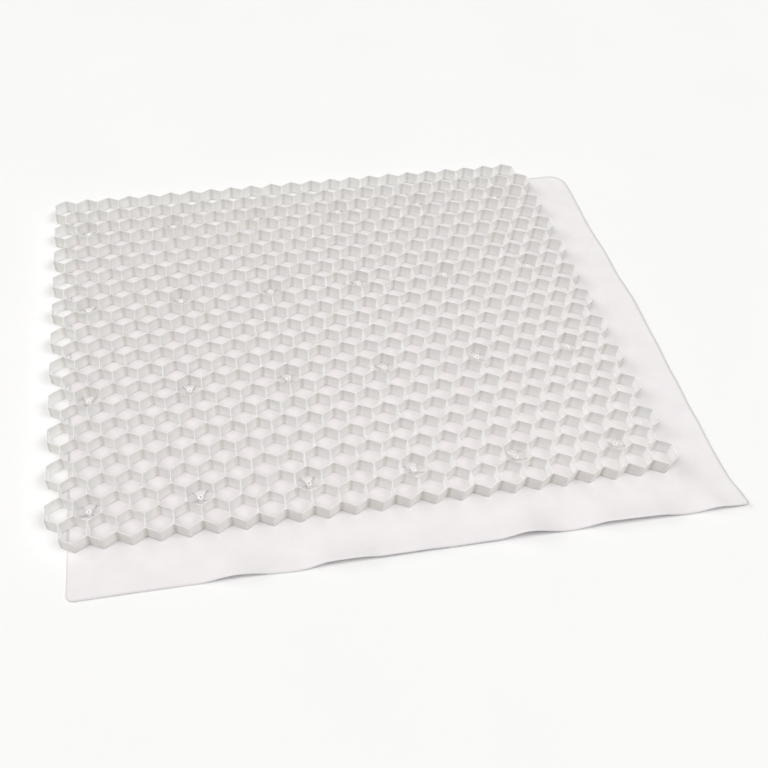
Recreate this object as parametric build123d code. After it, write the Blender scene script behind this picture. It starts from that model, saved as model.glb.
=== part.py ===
from build123d import *
from math import cos, hypot, pi, sin, sqrt
import os

os.makedirs("parts", exist_ok=True)

# Gravel grid: a white polypropylene honeycomb, moulded in one shot, bonded on
# a sheet of nonwoven geotextile that keeps the gravel from sinking through.
# Millimetres, +Z up, origin under the middle of the whole thing on the ground.
# The cells point to the front and to the back, so a row of cells runs along X
# and every second row stands half a cell to the left.

# Honeycomb
pitch = 50.0                      # centre to centre of two cells in a row
cells_per_row = 23
wall_foot = 1.9                   # thickness of the walls where they stand
wall_top = 1.4                    # thickness at the top: drafted, to leave the mould
wall_height = 30.0
section_names = ["grid_front", "grid_middle", "grid_back"]
section_rows = [7, 7, 8]          # rows of cells in each section

# Geotextile under the honeycomb
sheet_thick = 1.0
front_overhang = 94.0             # sheet past the front of the honeycomb
right_overhang = 109.0            # sheet past the right of the honeycomb
left_inset = 36.0                 # honeycomb past the left edge of the sheet
back_inset = 32.0                 # honeycomb past the back edge of the sheet
sheet_corner = 38.0               # rounded corner at the back right

# Worked out from the sizes above
rows = sum(section_rows)
reach = pitch / sqrt(3)           # centre of a cell to its corner, on the wall axes
row_step = 1.5 * reach
corner_foot = wall_foot / sqrt(3)  # half the foot of a wall, measured along a corner
grid_width = (cells_per_row + 0.5) * pitch + wall_foot
grid_depth = (rows - 1) * row_step + 2 * (reach + corner_foot)
overall_width = grid_width + right_overhang
overall_depth = grid_depth + front_overhang
grid_left = -overall_width / 2
grid_back = overall_depth / 2
grid_right = grid_left + grid_width
grid_front = grid_back - grid_depth
foot_z = sheet_thick              # the walls stand on the sheet
top_z = foot_z + wall_height


def cell_centre(column, row):
    x = grid_left + wall_foot / 2 + pitch * (column + 1.0 - 0.5 * (row % 2))
    y = grid_front + corner_foot + reach + row_step * row
    return x, y


def hexagon(column, row, radius):
    """Six corners round a cell: back, back left, front left, front, front right, back right."""
    x, y = cell_centre(column, row)
    turns = [pi / 2 + place * pi / 3 for place in range(6)]
    return [(x + radius * cos(turn), y + radius * sin(turn)) for turn in turns]


def front_zigzag(row):
    """Wall axes along the front of a row, from left to right."""
    line = [hexagon(0, row, reach)[2]]
    for column in range(cells_per_row):
        line += hexagon(column, row, reach)[3:5]
    return line


def back_zigzag(row):
    """Wall axes along the back of a row, from right to left."""
    line = [hexagon(cells_per_row - 1, row, reach)[5]]
    for column in reversed(range(cells_per_row)):
        line += hexagon(column, row, reach)[0:2]
    return line


def right_side(first, last):
    """Wall axes up the right side, from one row's front to the other's back."""
    line = []
    for row in range(first, last):
        back, back_right = hexagon(cells_per_row - 1, row, reach)[0::5]
        front_right = hexagon(cells_per_row - 1, row + 1, reach)[4]
        line += [back_right, back] if row % 2 == 0 else [back_right, front_right]
    return line


def left_side(first, last):
    """Wall axes down the left side, from one row's back to the other's front."""
    line = []
    for row in reversed(range(first, last)):
        back, back_left = hexagon(0, row, reach)[0:2]
        front_left = hexagon(0, row + 1, reach)[2]
        line += [front_left, back_left] if row % 2 == 0 else [back, back_left]
    return line


def pushed_out(points, distances):
    """Move every edge of a polygon outwards by its own distance."""
    moved = []
    for k, (x, y) in enumerate(points):
        before_x, before_y = points[k - 1]
        after_x, after_y = points[(k + 1) % len(points)]
        before = hypot(x - before_x, y - before_y)
        after = hypot(after_x - x, after_y - y)
        ax, ay = (y - before_y) / before, (before_x - x) / before
        bx, by = (after_y - y) / after, (x - after_x) / after
        turn = ax * by - ay * bx
        da, db = distances[k - 1], distances[k]
        moved.append((x + (da * by - db * ay) / turn, y + (db * ax - da * bx) / turn))
    return moved


def section_outline(first, last, wall):
    """Outer edge of a band of rows: half a wall outside, on the wall axes at a joint."""
    front = front_zigzag(first)
    right = right_side(first, last)
    back = back_zigzag(last)
    left = left_side(first, last)
    at_front = wall / 2 if first == 0 else 0.0
    at_back = wall / 2 if last == rows - 1 else 0.0
    distances = [at_front] * (len(front) - 1) + [wall / 2] * (len(right) + 1)
    distances += [at_back] * (len(back) - 1) + [wall / 2] * (len(left) + 1)
    return pushed_out(front + right + back + left, distances)


def ring(points, z):
    return Wire.make_polygon([(x, y, z) for x, y in points], close=True)


def sloping_sides(low, high):
    """Flat faces between a polygon at the foot and the like polygon at the top."""
    faces = []
    for k in range(len(low)):
        quad = [(*low[k - 1], foot_z), (*low[k], foot_z), (*high[k], top_z), (*high[k - 1], top_z)]
        faces.append(Face(Wire.make_polygon(quad, close=True)))
    return faces


def grid_section(first, last):
    """A band of rows: its cells are open right through and widen towards the top."""
    places = [(column, row) for row in range(first, last + 1) for column in range(cells_per_row)]
    low = [section_outline(first, last, wall_foot)]
    high = [section_outline(first, last, wall_top)]
    low += [hexagon(*place, reach - wall_foot / sqrt(3)) for place in places]
    high += [hexagon(*place, reach - wall_top / sqrt(3)) for place in places]
    faces = [Face(ring(low[0], foot_z), [ring(cell, foot_z) for cell in low[1:]])]
    faces.append(Face(ring(high[0], top_z), [ring(cell, top_z) for cell in high[1:]]))
    for at_foot, at_top in zip(low, high):
        faces += sloping_sides(at_foot, at_top)
    return Solid(Shell(faces))


def geotextile():
    """Sheet lying flat, with one rounded corner at the back right."""
    left = grid_left + left_inset
    right = grid_right + right_overhang
    front = grid_front - front_overhang
    back = grid_back - back_inset
    middle = Pos((left + right) / 2, (front + back) / 2, sheet_thick / 2)
    blank = middle * Box(right - left, back - front, sheet_thick)
    upright = blank.edges().filter_by(Axis.Z)
    back_right = upright.sort_by(lambda edge: edge.center().X + edge.center().Y)[-1]
    return fillet(back_right, sheet_corner)


start = 0
for name, count in zip(section_names, section_rows):
    export_step(grid_section(start, start + count - 1), "parts/" + name + ".step")
    start += count

export_step(geotextile(), "parts/geotextile.step")
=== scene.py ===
# %% [markdown]
# # A gravel grid on its geotextile
# The object is a panel for a gravel path or drive: a white honeycomb of polypropylene, moulded in one
# shot, bonded on a sheet of white felt. The felt sticks out past the front and the right, so that the
# next panels can lie on it.
# The CAD frame fixes every size and place. This lesson dresses it: soft lips and corners on the
# honeycomb, the little stars where the plastic entered the mould, a felt whose free edges lie in slow
# waves, and materials that are made of nodes alone.

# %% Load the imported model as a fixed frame
from math import pi, radians

import bmesh
import bpy
import numpy as np
from mathutils import Matrix, Vector


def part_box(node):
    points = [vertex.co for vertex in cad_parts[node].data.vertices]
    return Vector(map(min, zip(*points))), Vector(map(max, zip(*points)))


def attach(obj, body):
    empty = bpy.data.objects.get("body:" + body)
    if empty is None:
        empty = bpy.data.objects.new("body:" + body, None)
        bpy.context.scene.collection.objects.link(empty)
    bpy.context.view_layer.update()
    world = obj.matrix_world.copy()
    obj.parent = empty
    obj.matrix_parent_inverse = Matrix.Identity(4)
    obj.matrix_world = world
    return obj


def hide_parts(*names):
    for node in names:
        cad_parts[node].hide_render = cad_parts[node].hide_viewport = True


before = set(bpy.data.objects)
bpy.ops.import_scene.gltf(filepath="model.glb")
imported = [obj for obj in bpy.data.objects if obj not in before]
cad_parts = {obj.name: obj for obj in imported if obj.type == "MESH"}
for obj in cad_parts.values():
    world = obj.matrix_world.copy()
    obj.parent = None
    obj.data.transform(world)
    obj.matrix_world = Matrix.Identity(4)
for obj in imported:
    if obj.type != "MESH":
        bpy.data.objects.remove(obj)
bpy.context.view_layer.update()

# %% [markdown]
# The driving sizes are those of the part itself, in metres. Everything else is read from the frame, so
# the dressed pieces land where the CAD solids are.

# %% Sizes of the panel
PITCH = 0.050
COLUMNS = 23
ROWS = 22
WALL_FOOT = 0.0019
WALL_TOP = 0.0014
LIP = 0.0005
CORNER_RADIUS = 0.0016
GRID_NODES = ["grid_front", "grid_middle", "grid_back"]

REACH = PITCH / np.sqrt(3)
ROW_STEP = 1.5 * REACH
front_low, front_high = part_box("grid_front")
FOOT_Z = front_low.z
TOP_Z = front_high.z
FIRST_X = front_low.x + WALL_FOOT / 2 + PITCH
FIRST_Y = front_low.y + WALL_FOOT / np.sqrt(3) + REACH
print("walls from", round(FOOT_Z, 4), "to", round(TOP_Z, 4))
print("centre of the first cell:", round(FIRST_X, 4), round(FIRST_Y, 4))

# %% [markdown]
# ## The lattice
# A cell is a regular hexagon that points to the front and the back. One formula gives the centre of any
# cell, and one more gives any of its corners, for whole arrays of cells at once. Numbering the corners
# left round from the back makes the zigzags of the outline easy to pick out later.

# %% Centres and corners of cells
def centres(column, row):
    """x grows by one pitch a column, less half a pitch on odd rows; y grows by 1.5 reaches a row."""
    x = FIRST_X + PITCH * (column - 0.5 * (row % 2))
    y = FIRST_Y + ROW_STEP * row
    return np.stack(np.broadcast_arrays(x, y), axis=-1)


def corners(column, row, place):
    """Centre plus one reach at 90 degrees and 60 more for each place, counted left round."""
    turn = pi / 2 + place * pi / 3
    way = np.stack(np.broadcast_arrays(np.cos(turn), np.sin(turn)), axis=-1)
    return centres(column, row) + REACH * way


print("centre of the last cell:", centres(COLUMNS - 1, ROWS - 1).round(4))

# %% [markdown]
# ## A moulded wall
# On the real panel a wall is drafted, so that it leaves the mould, and its top edge is slightly round.
# Bevelling the CAD mesh would need clean edges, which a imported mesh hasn't got. A profile carried along
# a path is simpler and exact: the profile starts under the foot on the wall's axis, goes out to the
# wall's face, climbs with the draft, rolls over the lip, and ends on the axis at the top.
# Because every cell's profile ends on the shared axes, neighbours meet there and their points merge.

# %% Profile of half a wall
def wall_profile(lip_steps=3):
    """Distance from the wall's axis and height: foot on the axis, face at the foot, a quarter circle of
    the lip's radius at the top, and the axis again."""
    turn = np.linspace(0, pi / 2, lip_steps + 1)
    lip_out = WALL_TOP / 2 - LIP + LIP * np.cos(turn)
    lip_up = TOP_Z - LIP + LIP * np.sin(turn)
    out = np.concatenate(([0, WALL_FOOT / 2], lip_out, [0]))
    up = np.concatenate(([FOOT_Z, FOOT_Z], lip_up, [TOP_Z]))
    return out, up


profile_out, profile_up = wall_profile()
print("profile points, mm:", (profile_out * 1000).round(2), (profile_up * 1000).round(2))

# %% [markdown]
# The carrier works on many closed paths at once. A path runs left round the outside of the panel, or
# right round a cell, so that the open air is always on its right hand.

# %% Carry the profile along closed paths
def carried(paths, corner_radius, corner_steps=3):
    """Every edge moves to its right by the profile's distance, two moved edges meet in a corner, and the
    corner becomes an arc of the given radius: its centre lies on the bisector, and its points turn from
    the normal of one edge to the normal of the next."""
    along = np.roll(paths, -1, axis=1) - paths
    along /= np.linalg.norm(along, axis=-1, keepdims=True)
    after = np.stack((along[..., 1], -along[..., 0]), axis=-1)
    before = np.roll(after, 1, axis=1)
    cross = before[..., 0] * after[..., 1] - before[..., 1] * after[..., 0]
    bisector = (before + after) / (1 + (before * after).sum(-1, keepdims=True))
    corner = paths[:, :, None, :] + profile_out[:, None] * bisector[:, :, None, :]
    bend = np.arctan2(cross, (before * after).sum(-1))[..., None]
    turn = np.arctan2(before[..., 1], before[..., 0])[..., None]
    turn = turn + bend * np.linspace(0, 1, corner_steps + 1)
    arc = np.stack((np.cos(turn), np.sin(turn)), axis=-1) - bisector[:, :, None, :]
    radius = np.sign(cross)[..., None] * corner_radius * (profile_out > 0)
    flat = corner[:, :, None] + radius[:, :, None, :, None] * arc[:, :, :, None, :]
    height = np.broadcast_to(profile_up[:, None], flat.shape[:-1] + (1,))
    points = np.concatenate((flat, height), axis=-1)
    return points.reshape(len(paths), -1, len(profile_out), 3)


def wrapped_quads(points):
    """Grid cells as quads: the first way round closes on itself, the second doesn't."""
    count, around, along = points.shape[:3]
    index = np.arange(count * around * along).reshape(count, around, along)
    ahead = np.roll(index, -1, axis=1)
    quads = (index[..., :-1], ahead[..., :-1], ahead[..., 1:], index[..., 1:])
    return np.stack(quads, axis=-1).reshape(-1, 4)


# %% [markdown]
# The outline is a zigzag in front, steps up the right, a zigzag behind and steps down the left. Odd
# rows stand half a cell to the left, so the steps take other corners on odd and even rows.

# %% Outline of the panel
def outline():
    """Corners on the wall axes, left round from the front left."""
    column = np.arange(COLUMNS)
    right, last = COLUMNS - 1, ROWS - 1
    rows = np.arange(last)
    odd = (rows % 2 == 1)[:, None]
    front = np.stack((corners(column, 0, 3), corners(column, 0, 4)), axis=1)
    right_step = np.where(odd, corners(right, rows + 1, 4), corners(right, rows, 0))
    up_right = np.stack((corners(right, rows, 5), right_step), axis=1)
    back = np.stack((corners(column, last, 0), corners(column, last, 1)), axis=1)[::-1]
    left_step = np.where(odd, corners(0, rows, 0), corners(0, rows + 1, 2))
    down_left = np.stack((left_step, corners(0, rows, 1)), axis=1)[::-1]
    runs = [corners(0, 0, 2)[None], front, up_right, corners(right, last, 5)[None], back, down_left]
    return np.vstack([run.reshape(-1, 2) for run in runs])[None]


print("corners round the outside:", outline().shape[1])

# %% [markdown]
# Every piece of this panel is made in the same way: points and faces go into a mesh, points that
# coincide are merged, and the finished object stays at the origin and rides on the part's one body. The
# honeycomb also takes an attribute along, which tells its outer wall faces from those in the cells.

# %% Turn points and faces into a finished piece
def piece(name, points, faces, merge=0.0, outer=None):
    """A mesh object at the origin, its doubles merged, riding on the part's one body. The optional
    attribute "outer" has one value a point."""
    mesh = bpy.data.meshes.new(name)
    mesh.from_pydata(points.reshape(-1, 3), [], faces)
    if outer is not None:
        mesh.attributes.new("outer", "FLOAT", "POINT").data.foreach_set("value", outer)
    if merge:
        work = bmesh.new()
        work.from_mesh(mesh)
        bmesh.ops.remove_doubles(work, verts=work.verts, dist=merge)
        work.to_mesh(mesh)
        work.free()
    mesh.polygons.foreach_set("use_smooth", np.ones(len(mesh.polygons), bool))
    made = bpy.data.objects.new(name, mesh)
    bpy.context.scene.collection.objects.link(made)
    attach(made, "root")
    return made


def triangles(made):
    """Number of triangles the piece comes to, with its modifiers."""
    final = made.evaluated_get(bpy.context.evaluated_depsgraph_get()).to_mesh()
    return sum(len(polygon.vertices) - 2 for polygon in final.polygons)


# %% [markdown]
# The real honeycomb is one moulding, and the CAD stores it in three sections. Dressed one by one, the
# sections would show dark seams between them, so one surface takes the place of all three: the cells'
# profiles inside and the outline's profile outside. Weighted normals keep the flat faces flat beside the
# small round corners.

# %% Build the honeycomb
def honeycomb():
    """The profile carried right round every cell and left round the outline."""
    column, row = np.meshgrid(np.arange(COLUMNS), np.arange(ROWS))
    cells = corners(column.reshape(-1, 1), row.reshape(-1, 1), -np.arange(6))
    inside = carried(cells, CORNER_RADIUS)
    outside = carried(outline(), CORNER_RADIUS)
    faces = np.vstack((wrapped_quads(inside), wrapped_quads(outside) + inside.size // 3))
    points = np.vstack((inside.reshape(-1, 3), outside.reshape(-1, 3)))
    outer = np.repeat([0.0, 1.0], [inside.size // 3, outside.size // 3])
    made = piece("honeycomb", points, faces, merge=2e-6, outer=outer)
    made.modifiers.new("even_shading", "WEIGHTED_NORMAL").keep_sharp = True
    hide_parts(*GRID_NODES)
    return made


grid = honeycomb()
print("honeycomb triangles:", triangles(grid))

# %% [markdown]
# ## Where the plastic came in
# Every fourth cell of every sixth row holds a small star. There the mould's hot runner let the melt in:
# a round hub with a dimple, and thin ribs that carried the melt out to the walls. The photograph shows
# ribs to the sides and to the two walls behind, and bright felt in front, so the front has none.

# %% Sizes of a star
GATE_COLUMNS = np.arange(1, 22, 4)
GATE_ROWS = np.array([1, 7, 13, 19])
HUB_RADIUS = 0.0050
HUB_TOP = FOOT_Z + 0.015
HUB_STEPS = 20
HUB_EDGE = 0.0005
DIMPLE_RADIUS = 0.0023
DIMPLE_DEPTH = 0.009
RIBS = 4
RIB_TOP = FOOT_Z + 0.0105
RIB_END_TOP = FOOT_Z + 0.0045
RIB_THICK = 0.0010
RIB_EDGE = 0.00025
RIB_START = HUB_RADIUS * 0.6
RIB_FINISH = PITCH / 2 - WALL_TOP / 4


# %% The hub is turned
def hub_points():
    """A closed profile of radius and height, turned about the axis."""
    radius = [0, HUB_RADIUS - HUB_EDGE, HUB_RADIUS, HUB_RADIUS, HUB_RADIUS - HUB_EDGE]
    radius = np.array(radius + [DIMPLE_RADIUS + HUB_EDGE, DIMPLE_RADIUS, DIMPLE_RADIUS, 0])
    floor_z = HUB_TOP - DIMPLE_DEPTH
    height = [FOOT_Z, FOOT_Z, FOOT_Z + HUB_EDGE, HUB_TOP - HUB_EDGE, HUB_TOP, HUB_TOP]
    height = np.array(height + [HUB_TOP - HUB_EDGE, floor_z, floor_z])
    turn = np.arange(HUB_STEPS)[:, None] * 2 * pi / HUB_STEPS
    spun = np.stack((radius * np.cos(turn), radius * np.sin(turn), height + 0 * turn), axis=-1)
    return spun[None]


# %% The ribs are beams
def rib_points():
    """Four beams: a rectangle with bevelled edges at the hub, and a lower one at the wall."""
    half, edge = RIB_THICK / 2, RIB_EDGE
    across = np.array([half - edge, half, half, half - edge, edge - half, -half, -half, edge - half])
    upper = np.array([0, 0, 1, 1, 1, 1, 0, 0])
    inset = np.array([0, 1, -1, 0, 0, -1, 1, 0]) * edge
    start = np.stack((0 * across + RIB_START, across), axis=-1)
    finish = np.stack((0 * across + RIB_FINISH, across), axis=-1)
    low_z = FOOT_Z + (RIB_TOP - FOOT_Z) * upper + inset
    end_z = FOOT_Z + (RIB_END_TOP - FOOT_Z) * upper + inset
    ends = np.stack((np.column_stack((start, low_z)), np.column_stack((finish, end_z))), axis=1)
    turn = np.arange(RIBS)[:, None, None] * pi / 3
    x = ends[..., 0] * np.cos(turn) - ends[..., 1] * np.sin(turn)
    y = ends[..., 0] * np.sin(turn) + ends[..., 1] * np.cos(turn)
    z = np.broadcast_to(ends[..., 2], x.shape)
    return np.stack((x, y, z), axis=-1)


# %% [markdown]
# One star is worked out at the origin, and all of them are copied in one step by adding the centre of
# each gate cell to its points. They are plastic like the honeycomb and share its material.

# %% Copy the star to every gate cell
def gate_stars():
    """Points of one hub and its ribs plus the centre of each gate cell, faces shifted to match."""
    hub, ribs = hub_points(), rib_points()
    section = ribs.shape[1]
    hub_faces = wrapped_quads(hub)
    rib_faces = wrapped_quads(ribs) + hub.size // 3
    cap = np.arange(section)[None, ::-1]
    first = np.arange(RIBS)[:, None] * 2 * section + hub.size // 3
    caps = np.vstack((first + cap * 2, first + cap[:, ::-1] * 2 + 1))
    one = np.vstack((hub.reshape(-1, 3), ribs.reshape(-1, 3)))
    column, row = np.meshgrid(GATE_COLUMNS, GATE_ROWS)
    middle = centres(column.ravel(), row.ravel())
    places = np.column_stack((middle, 0 * middle[:, :1]))
    points = one[None] + places[:, None]
    step = (np.arange(len(places)) * len(one))[:, None, None]
    quads = (np.vstack((hub_faces, rib_faces))[None] + step).reshape(-1, 4)
    caps = (caps[None] + step).reshape(-1, section)
    made = piece("gate_stars", points, quads.tolist() + caps.tolist(), merge=1e-6)
    made.modifiers.new("even_shading", "WEIGHTED_NORMAL").keep_sharp = True
    return made


stars = gate_stars()
print("gate stars:", GATE_COLUMNS.size * GATE_ROWS.size, "triangles:", triangles(stars))

# %% [markdown]
# ## The geotextile
# The felt is cut with a knife, lies flat where the honeycomb is bonded on it, and lifts in slow waves
# where it is free. A cloth simulation could give such waves, but not these ones. The photograph shows
# where the edge lifts, so a height field that grows towards the free edge follows it better.

# %% Size of the felt and where it is free
sheet_low, sheet_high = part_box("geotextile")
SHEET_THICK = sheet_high.z - sheet_low.z
SHEET_WIDTH = sheet_high.x - sheet_low.x
SHEET_LENGTH = sheet_high.y - sheet_low.y
MESH_STEP = 0.0065
FREE_FRONT_Y = front_low.y
FREE_RIGHT_X = front_high.x
CORNERS = {"front left": 0.012, "front right": 0.004, "back right": 0.038, "back left": 0.010}
print("felt, metres:", round(SHEET_WIDTH, 4), "by", round(SHEET_LENGTH, 4))


# %% [markdown]
# The free edges are described by a few values each, at places along the edge, and a smooth course joins
# them. Between the edge and the honeycomb the lift fades out, and faint ripples keep the felt from
# looking like sheet metal.

# %% Slow waves along the free edges
LIFT_POWER = 1.7
RIPPLE = 0.0005


def smooth_course(at, places, values):
    """Smooth interpolation: a blend of the two nearest values, eased by a cubic."""
    places, values = np.array(places), np.array(values)
    k = np.clip(np.searchsorted(places, at) - 1, 0, len(places) - 2)
    share = np.clip((at - places[k]) / (places[k + 1] - places[k]), 0, 1)
    share = share * share * (3 - 2 * share)
    return values[k] * (1 - share) + values[k + 1] * share


def front_lift(x):
    """Lift of the front edge, at places measured from the centre of the first cell."""
    places = [-0.020, 0.070, 0.200, 0.272, 0.350, 0.388, 0.438, 0.492, 0.530, 0.590, 0.680, 0.735]
    places += [0.797, 0.878, 0.952, 1.042, 1.108, 1.165, 1.205, 1.240]
    lifts = [0.0007, 0.0012, 0.0002, 0.0143, 0.0002, 0.0010, 0.0145, 0.0148, 0.0079, 0.0076, 0.0045]
    lifts += [0.0052, 0.0206, 0.0009, 0.0165, 0.0133, 0.0014, 0.0108, 0.0062, 0.0045]
    return smooth_course(x - FIRST_X, places, lifts)


def right_lift(y):
    """Lift of the right edge, at places measured from the centre of the first cell."""
    places = [-0.124, -0.080, 0.020, 0.200, 0.420, 0.560, 0.720, 0.900]
    lifts = [0.0015, 0.0020, 0.0015, 0.0010, 0.0025, 0.0010, 0.0020, 0.0008]
    return smooth_course(y - FIRST_Y, places, lifts)


def free_share(x, y):
    """0 under the honeycomb, growing straight to 1 at the front edge and at the right edge."""
    ahead = np.clip((FREE_FRONT_Y - y) / (FREE_FRONT_Y - sheet_low.y), 0, 1)
    aside = np.clip((x - FREE_RIGHT_X) / (sheet_high.x - FREE_RIGHT_X), 0, 1)
    return ahead, aside


def felt_surface(x, y):
    """Top of the felt: its thickness, plus the edge's lift times a power of the way to the edge, plus
    ripples, a product of two bent sine waves."""
    ahead, aside = free_share(x, y)
    lift = front_lift(x) * ahead**LIFT_POWER + right_lift(y) * aside**LIFT_POWER
    ripple = np.sin(x * 61 + 1.3 * np.sin(y * 23)) * np.sin(y * 47 + 1.7 * np.sin(x * 19))
    return sheet_high.z + lift + RIPPLE * (1 + ripple) * np.maximum(ahead, aside) ** 0.5


print("highest lift of the front edge:", front_lift(np.linspace(-0.6, 0.6, 200)).max().round(4))

# %% [markdown]
# Seen from above, the felt isn't quite a rectangle. Its corners are round, the knife wandered a little
# along the front, and the right edge runs inwards towards the front.

# %% Plan of the felt
BULGE = 0.0026
BULGE_PLACE = 0.375
BULGE_WIDTH = 0.035


def right_course(y):
    """How far inside the box the right edge was cut."""
    places = [-0.124, -0.105, -0.060, 0.010, 0.100, 0.200, 0.300, 0.430, 0.520, 0.600, 0.700, 0.830]
    inside = [0.0100, 0.0120, 0.0180, 0.0175, 0.0140, 0.0100, 0.0055, 0.0010, 0.0035, 0.0020, 0.0060]
    inside += [0.0010]
    return smooth_course(y - FIRST_Y, places, inside)


def front_course(x):
    """How far inside the box the front edge was cut: two slow waves, less one bulge forwards."""
    wander = 0.0003 * (1 + np.sin(x * 9.1 + 0.4)) + 0.0002 * (1 + np.sin(x * 23.0))
    wander -= BULGE * np.exp(-(((x - FIRST_X - BULGE_PLACE) / BULGE_WIDTH) ** 2))
    return wander


def rounded(x, y):
    """Plan of the felt with round corners: near a corner the square rings become quarter circles."""
    for name, radius in CORNERS.items():
        sign_x = 1 if "right" in name else -1
        sign_y = 1 if "back" in name else -1
        centre_x = (sheet_high.x if sign_x > 0 else sheet_low.x) - sign_x * radius
        centre_y = (sheet_high.y if sign_y > 0 else sheet_low.y) - sign_y * radius
        a = np.maximum(sign_x * (x - centre_x), 0)
        b = np.maximum(sign_y * (y - centre_y), 0)
        inside = (a > 0) & (b > 0)
        share = np.where(inside, np.maximum(a, b) / np.maximum(np.hypot(a, b), 1e-9), 1)
        x = np.where(inside, centre_x + sign_x * a * share, x)
        y = np.where(inside, centre_y + sign_y * b * share, y)
    return x, y


print("right edge at the front stands in by", right_course(sheet_low.y).round(4))

# %% [markdown]
# The felt is one grid of quads, and Solidify gives it its thickness downwards, with a closed cut edge.

# %% Build the felt
def felt():
    """A flat grid, its corners rounded, its free edges moved in by their courses, its height from the
    surface formula."""
    across = int(SHEET_WIDTH / MESH_STEP)
    along = int(SHEET_LENGTH / MESH_STEP)
    x, y = np.meshgrid(
        np.linspace(sheet_low.x, sheet_high.x, across + 1),
        np.linspace(sheet_low.y, sheet_high.y, along + 1),
    )
    x, y = rounded(x, y)
    ahead, aside = free_share(x, y)
    plan_x = x - aside * right_course(y)
    plan_y = y + ahead * front_course(x)
    points = np.stack((plan_x, plan_y, felt_surface(x, y)), axis=-1)
    index = np.arange(x.size).reshape(x.shape)
    quads = (index[:-1, :-1], index[:-1, 1:], index[1:, 1:], index[1:, :-1])
    faces = np.stack(quads, axis=-1).reshape(-1, 4)
    made = piece("felt_sheet", points, faces)
    thickness = made.modifiers.new("thickness", "SOLIDIFY")
    thickness.thickness = SHEET_THICK
    thickness.offset = -1
    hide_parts("geotextile")
    return made


def plan_area(made):
    """Half the cross product of each quad's diagonals, seen from above, summed over the mesh."""
    points = np.array([vertex.co[:2] for vertex in made.data.vertices])
    quads = points[np.array([polygon.vertices[:] for polygon in made.data.polygons])]
    one = quads[:, 2] - quads[:, 0]
    two = quads[:, 3] - quads[:, 1]
    return float((one[:, 0] * two[:, 1] - one[:, 1] * two[:, 0]).sum() / 2)


felt_sheet = felt()
print("felt triangles:", triangles(felt_sheet))
print("cut area, square metres:", round(plan_area(felt_sheet), 4))

# %% [markdown]
# ## Materials
# Both finishes are whites, so what tells them apart is texture, gloss and a little colour. The plastic
# is warm, satin and slightly see-through. The felt is cool and dull, with crossing fibres. A faint
# cloudiness is common to both, and to the floor, so it is built once as a node group.

# %% A node group for soft cloudiness
def add(tree, kind, **values):
    """A new node of one kind, with its settings."""
    made = tree.nodes.new(kind)
    for key, value in values.items():
        setattr(made, key, value)
    return made


def mottle_group():
    """Noise, whose middle part from 0.3 to 0.7 is spread over the values from Low to High."""
    tree = bpy.data.node_groups.new("soft_mottle", "ShaderNodeTree")
    socket = tree.interface.new_socket
    socket("Vector", in_out="INPUT", socket_type="NodeSocketVector")
    for name, start in (("Scale", 10.0), ("Detail", 3.0), ("Low", 0.0), ("High", 1.0)):
        socket(name, in_out="INPUT", socket_type="NodeSocketFloat").default_value = start
    socket("Value", in_out="OUTPUT", socket_type="NodeSocketFloat")
    entry = add(tree, "NodeGroupInput")
    leave = add(tree, "NodeGroupOutput")
    noise = add(tree, "ShaderNodeTexNoise")
    spread = add(tree, "ShaderNodeMapRange")
    spread.inputs["From Min"].default_value = 0.3
    spread.inputs["From Max"].default_value = 0.7
    tree.links.new(entry.outputs["Vector"], noise.inputs["Vector"])
    tree.links.new(entry.outputs["Scale"], noise.inputs["Scale"])
    tree.links.new(entry.outputs["Detail"], noise.inputs["Detail"])
    tree.links.new(noise.outputs["Fac"], spread.inputs["Value"])
    tree.links.new(entry.outputs["Low"], spread.inputs["To Min"])
    tree.links.new(entry.outputs["High"], spread.inputs["To Max"])
    tree.links.new(spread.outputs["Result"], leave.inputs["Value"])
    return tree


MOTTLE = mottle_group()
print("node group inputs:", [item.name for item in MOTTLE.interface.items_tree if item.in_out == "INPUT"])


# %% [markdown]
# A handful of short helpers keeps the materials readable: one starts a material, and the others place a
# mottle, mix or multiply two colours, multiply two masks, or turn a range of values into a mask.

# %% Helpers for materials
WHITE = (1, 1, 1)


def started(name):
    """A new node material with its Principled shader and object coordinates."""
    material = bpy.data.materials.new(name)
    material.use_nodes = True
    tree = material.node_tree
    shader = tree.nodes["Principled BSDF"]
    place = add(tree, "ShaderNodeTexCoord").outputs["Object"]
    return material, tree, shader, place


def mottle(tree, vector, scale, low, high, detail=3.0):
    """The cloudiness group, with its own values."""
    made = add(tree, "ShaderNodeGroup", node_tree=MOTTLE)
    for name, value in (("Scale", scale), ("Low", low), ("High", high), ("Detail", detail)):
        made.inputs[name].default_value = value
    tree.links.new(vector, made.inputs["Vector"])
    return made.outputs["Value"]


def mixed(tree, factor, first, second):
    """From the first colour to the second, as the factor goes from 0 to 1."""
    made = add(tree, "ShaderNodeMix", data_type="RGBA")
    made.inputs["A"].default_value = (*first, 1)
    made.inputs["B"].default_value = (*second, 1)
    tree.links.new(factor, made.inputs["Factor"])
    return made.outputs["Result"]


def multiplied(tree, base, tint):
    """One colour times another."""
    made = add(tree, "ShaderNodeMix", data_type="RGBA", blend_type="MULTIPLY")
    made.inputs["Factor"].default_value = 1.0
    tree.links.new(base, made.inputs["A"])
    tree.links.new(tint, made.inputs["B"])
    return made.outputs["Result"]


def masked(tree, one, two):
    """One mask times another."""
    made = add(tree, "ShaderNodeMath", operation="MULTIPLY")
    tree.links.new(one, made.inputs[0])
    tree.links.new(two, made.inputs[1])
    return made.outputs["Value"]


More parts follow.
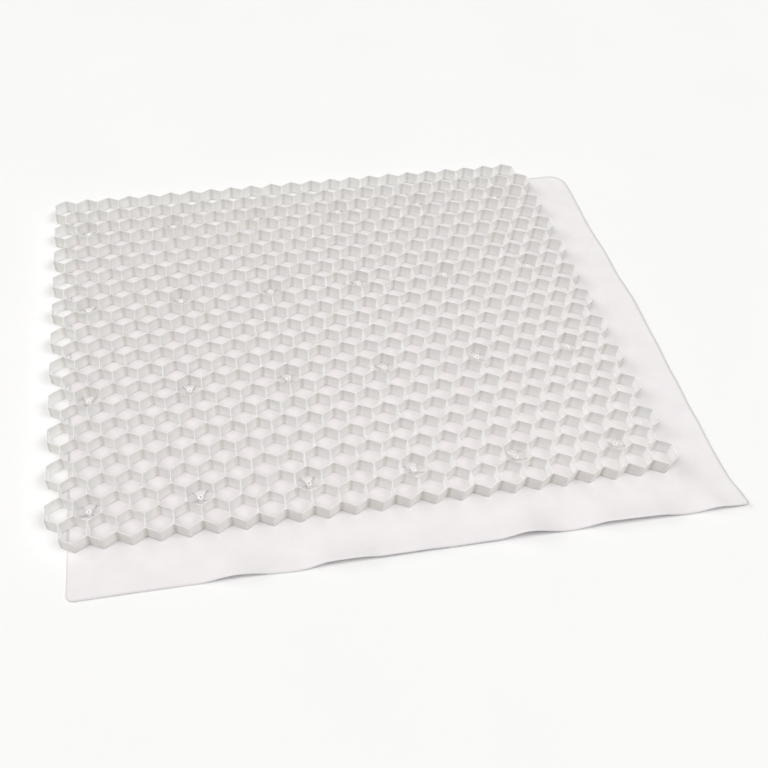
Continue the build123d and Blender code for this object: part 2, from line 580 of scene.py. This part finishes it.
def eased(tree, value, start, finish):
    """A mask that goes smoothly from 0 at the start value to 1 at the finish value."""
    made = add(tree, "ShaderNodeMapRange", interpolation_type="SMOOTHSTEP")
    made.inputs["From Min"].default_value = start
    made.inputs["From Max"].default_value = finish
    tree.links.new(value, made.inputs["Value"])
    return made.outputs["Result"]


def bumped(tree, shader, height, strength, distance):
    """A Bump node from the height to the shader's normal."""
    bump = add(tree, "ShaderNodeBump")
    bump.inputs["Strength"].default_value = strength
    bump.inputs["Distance"].default_value = distance
    tree.links.new(height, bump.inputs["Height"])
    tree.links.new(bump.outputs["Normal"], shader.inputs["Normal"])


# %% [markdown]
# The plastic: nearly white polypropylene lets some light through, which subsurface scattering gives. Its
# colour is painted a touch whiter near the foot, as painted light for the light that the felt throws up
# into the walls, and its satin gloss is uneven. Where a wall leads away to the back, less light comes
# through, so the back corner of every cell gets painted shade. Three waves with the honeycomb's own
# period find these corners without image or attribute.

# %% A mask of painted shade for the back corners
def back_corners(tree, place):
    """Sine waves that run at 30, 150 and 270 degrees, one period to a row: their sum is 2.6 at the back
    corner of every cell, minus 2.6 at the front corner and 0 at the centre."""
    number = 2 * pi / ROW_STEP
    shifted = add(tree, "ShaderNodeVectorMath", operation="SUBTRACT")
    shifted.inputs[1].default_value = (FIRST_X, FIRST_Y, 0)
    tree.links.new(place, shifted.inputs[0])
    total = None
    for turn in (pi / 6, 5 * pi / 6, 3 * pi / 2):
        along = add(tree, "ShaderNodeVectorMath", operation="DOT_PRODUCT")
        along.inputs[1].default_value = (number * np.cos(turn), number * np.sin(turn), 0)
        tree.links.new(shifted.outputs["Vector"], along.inputs[0])
        wave = add(tree, "ShaderNodeMath", operation="SINE")
        tree.links.new(along.outputs["Value"], wave.inputs[0])
        if total is None:
            total = wave.outputs["Value"]
            continue
        joined = add(tree, "ShaderNodeMath", operation="ADD")
        tree.links.new(total, joined.inputs[0])
        tree.links.new(wave.outputs["Value"], joined.inputs[1])
        total = joined.outputs["Value"]
    return eased(tree, total, 1.7, 2.6)


# %% [markdown]
# The faces round the outside have no neighbour that scatters light on to them. In the photograph those
# that look to the front left are clearly darker and those that look to the front right a little darker.
# The honeycomb's own attribute tells the outside from the cells, and the normal tells the direction; the
# mask darkens their colour as painted shade.

# %% A mask of painted shade for the outer front faces
def outer_fronts(tree):
    """The attribute times the normal's dot product with a vector to the front and a little left."""
    facing = add(tree, "ShaderNodeVectorMath", operation="DOT_PRODUCT")
    facing.inputs[1].default_value = (-0.5, -0.7, 0)
    tree.links.new(add(tree, "ShaderNodeTexCoord").outputs["Normal"], facing.inputs[0])
    outer = add(tree, "ShaderNodeAttribute", attribute_name="outer")
    both = add(tree, "ShaderNodeMath", operation="MULTIPLY", use_clamp=True)
    tree.links.new(facing.outputs["Value"], both.inputs[0])
    tree.links.new(outer.outputs["Fac"], both.inputs[1])
    return both.outputs["Value"]


# %% [markdown]
# The plastic's colour is built in layers: a clouded body with painted light that makes it whiter at the
# foot, faint level streaks left by the mould's polishing, and the two masks of painted shade, both of
# which end just below the bright lip.

# %% White polypropylene
# Painted light: the colour at the wall's foot, whiter where the felt throws light up into the walls.
PAINTED_FOOT_LIGHT = (0.988, 0.975, 0.960)
BODY_DARK, BODY_LIGHT = (0.958, 0.938, 0.914), (0.974, 0.957, 0.937)
STREAK_TINT = (0.955, 0.952, 0.948)
STREAK_SCALE = (22, 22, 520)
# Painted shade: the colour in the back corners of the cells.
PAINTED_CORNER_SHADE = (0.85, 0.84, 0.83)
# Painted shade: the colour of the outer front faces.
PAINTED_OUTER_SHADE = (0.78, 0.77, 0.76)


def polypropylene():
    """Body, whiter at the foot by painted light, times streaks times painted corner shade times painted
    outer shade, over strong, short scattering.
    """
    material, tree, shader, place = started("white_polypropylene")
    link = tree.links.new
    height = add(tree, "ShaderNodeSeparateXYZ")
    link(place, height.inputs["Vector"])
    up = height.outputs["Z"]
    # The body is painted whiter towards the foot: painted light from the felt below.
    body = add(tree, "ShaderNodeMix", data_type="RGBA")
    body.inputs["A"].default_value = (*PAINTED_FOOT_LIGHT, 1)
    link(eased(tree, up, FOOT_Z, (FOOT_Z + TOP_Z) / 2), body.inputs["Factor"])
    link(mixed(tree, mottle(tree, place, 14, 0, 1, detail=4), BODY_DARK, BODY_LIGHT), body.inputs["B"])
    drawn = add(tree, "ShaderNodeMapping")
    drawn.inputs["Scale"].default_value = STREAK_SCALE
    link(place, drawn.inputs["Vector"])
    marks = mottle(tree, drawn.outputs["Vector"], 1.0, 0, 1, detail=2)
    colour = multiplied(tree, body.outputs["Result"], mixed(tree, marks, STREAK_TINT, WHITE))
    below_lip = eased(tree, up, TOP_Z - 0.0005, TOP_Z - 0.0030)
    # Painted shade: the back corners of the cells are darkened.
    behind = masked(tree, back_corners(tree, place), below_lip)
    colour = multiplied(tree, colour, mixed(tree, behind, WHITE, PAINTED_CORNER_SHADE))
    # Painted shade: the outer front faces are darkened.
    outside = masked(tree, outer_fronts(tree), below_lip)
    colour = multiplied(tree, colour, mixed(tree, outside, WHITE, PAINTED_OUTER_SHADE))
    link(colour, shader.inputs["Base Color"])
    link(mottle(tree, place, 45, 0.38, 0.52), shader.inputs["Roughness"])
    bumped(tree, shader, mottle(tree, place, 120, 0, 1, detail=2), 0.25, 0.0004)
    shader.inputs["Subsurface Weight"].default_value = 1.0
    shader.inputs["Subsurface Radius"].default_value = (1.0, 0.97, 0.92)
    shader.inputs["Subsurface Scale"].default_value = 0.005
    shader.inputs["IOR"].default_value = 1.49
    return material


# %% [markdown]
# The felt: fine fibres lie in every direction, pressed flat by hot rollers. Two stretched noises, turned
# across each other, give the fibres, and a larger cloud gives the uneven density of such sheets.

# %% White nonwoven felt
FELT_DARK, FELT_LIGHT = (0.764, 0.735, 0.746), (0.799, 0.771, 0.782)
FIBRE_TINT = (0.955, 0.955, 0.955)
FIBRE_STRETCH = 0.12


def stretched(tree, place, turn, scale):
    """Noise drawn out along one direction of the plan."""
    turned = add(tree, "ShaderNodeMapping")
    turned.inputs["Rotation"].default_value = (0, 0, turn)
    turned.inputs["Scale"].default_value = (scale * FIBRE_STRETCH, scale, scale)
    tree.links.new(place, turned.inputs["Vector"])
    return mottle(tree, turned.outputs["Vector"], 1.0, 0, 1, detail=4)


def nonwoven():
    """The cloud's colour times the fibres' tint, where the fibres are the larger of two noises."""
    material, tree, shader, place = started("white_nonwoven")
    link = tree.links.new
    fibres = add(tree, "ShaderNodeMath", operation="MAXIMUM")
    link(stretched(tree, place, radians(35), 900), fibres.inputs[0])
    link(stretched(tree, place, radians(-40), 800), fibres.inputs[1])
    cloud = mottle(tree, place, 22, 0, 1, detail=5)
    body = mixed(tree, cloud, FELT_DARK, FELT_LIGHT)
    shade = mixed(tree, fibres.outputs["Value"], FIBRE_TINT, WHITE)
    link(multiplied(tree, body, shade), shader.inputs["Base Color"])
    link(mottle(tree, place, 60, 0.82, 0.95), shader.inputs["Roughness"])
    bumped(tree, shader, fibres.outputs["Value"], 0.35, 0.0003)
    shader.inputs["Sheen Weight"].default_value = 0.2
    shader.inputs["Sheen Roughness"].default_value = 0.6
    return material


# %% [markdown]
# The honeycomb and the stars came out of one mould, so they share one material.

# %% Put the materials on
plastic = polypropylene()
for made in (grid, stars):
    made.data.materials.append(plastic)
felt_sheet.data.materials.append(nonwoven())
print("materials:", [material.name for material in bpy.data.materials])

# %% [markdown]
# The floor is a plain pale stage, a hair below the felt. It isn't quite white, so that the ground seen
# through the leftmost cells, which stand past the felt, doesn't outshine them.

# %% Floor
FLOOR_HALF = 12.0
FLOOR_Z = -0.0002
FLOOR_DARK, FLOOR_LIGHT = (0.842, 0.842, 0.842), (0.852, 0.852, 0.852)


def floor():
    """One square, far larger than the picture, with a faint cloudiness."""
    material, tree, shader, place = started("pale_floor")
    colour = mixed(tree, mottle(tree, place, 3, 0, 1), FLOOR_DARK, FLOOR_LIGHT)
    tree.links.new(colour, shader.inputs["Base Color"])
    tree.links.new(mottle(tree, place, 20, 0.85, 0.95), shader.inputs["Roughness"])
    square = np.array([(-1, -1), (1, -1), (1, 1), (-1, 1)]) * FLOOR_HALF
    mesh = bpy.data.meshes.new("floor")
    mesh.from_pydata(np.column_stack((square, np.full(4, FLOOR_Z))), [], [(0, 1, 2, 3)])
    mesh.materials.append(material)
    made = bpy.data.objects.new("floor", mesh)
    bpy.context.scene.collection.objects.link(made)
    return made


ground = floor()
print("floor, metres across:", 2 * FLOOR_HALF)

# %% [markdown]
# ## Light and camera
# The photograph was taken from the front, a little left of the middle, looking down at about 49 degrees.
# Solving the camera from the regular hexagons gives its place, its lens and the point that it looks at
# straight on, which isn't the middle of the frame, so the lens is shifted a little.

# %% Camera
FRAME_PIXELS = 768
FOCAL_PIXELS = 876.5
AXIS_PIXEL_X = 319.3
AXIS_PIXEL_Y = 384.5
SENSOR = 36.0
EYE_FROM_FIRST_CELL = Vector((0.2569, -0.8655, 1.3275))
CAMERA_RIGHT = Vector((0.98517, -0.17009, 0.02239))
CAMERA_AHEAD = Vector((0.12817, 0.64292, -0.75513))


def camera():
    """Right, up and back are the columns of its turn; up is the cross product of right and ahead."""
    data = bpy.data.cameras.new("photo_camera")
    data.sensor_width = SENSOR
    data.lens = FOCAL_PIXELS / FRAME_PIXELS * SENSOR
    data.shift_x = (FRAME_PIXELS / 2 - AXIS_PIXEL_X) / FRAME_PIXELS
    data.shift_y = (AXIS_PIXEL_Y - FRAME_PIXELS / 2) / FRAME_PIXELS
    made = bpy.data.objects.new("photo_camera", data)
    bpy.context.scene.collection.objects.link(made)
    eye = EYE_FROM_FIRST_CELL + Vector((FIRST_X, FIRST_Y, TOP_Z))
    ahead = CAMERA_AHEAD.normalized()
    right = (CAMERA_RIGHT - CAMERA_RIGHT.dot(ahead) * ahead).normalized()
    up = right.cross(ahead)
    turn = Matrix((right, up, -ahead)).transposed().to_4x4()
    made.matrix_world = Matrix.Translation(eye) @ turn
    bpy.context.scene.camera = made
    return made


print("lens, mm:", round(camera().data.lens, 2))

# %% [markdown]
# The light is large and soft. One light stands on the right, one on the left a little in front, and a
# low one behind on the left shines through the walls, so the faces that look to the front left are the
# darkest, as in the photograph. Rendering single lights and fitting their mix to the brightness of the
# cells gave the directions and the strengths.

# %% Lights
WARM_WHITE = (1.0, 0.995, 0.985)


def broad_sun(name, towards, strength, angle):
    """A sun as wide as its angle, in radians, that shines from the given direction."""
    data = bpy.data.lights.new(name, "SUN")
    data.energy = strength
    data.angle = angle
    data.color = WARM_WHITE
    made = bpy.data.objects.new(name, data)
    bpy.context.scene.collection.objects.link(made)
    made.rotation_euler = Vector(towards).to_track_quat("Z", "Y").to_euler()


broad_sun("right_light", (0.64, -0.20, 1.0), 1.50, 0.65)
broad_sun("left_light", (-0.43, -0.28, 1.0), 1.75, 0.75)
broad_sun("back_light", (-1.386, 0.8, 1.0), 1.12, 0.6)

world = bpy.data.worlds.new("studio")
world.use_nodes = True
world.node_tree.nodes["Background"].inputs["Color"].default_value = (0.97, 0.98, 1.0, 1)
world.node_tree.nodes["Background"].inputs["Strength"].default_value = 0.05
bpy.context.scene.world = world
bpy.context.scene.view_settings.view_transform = "Standard"
print("lights:", [light.name for light in bpy.data.lights])
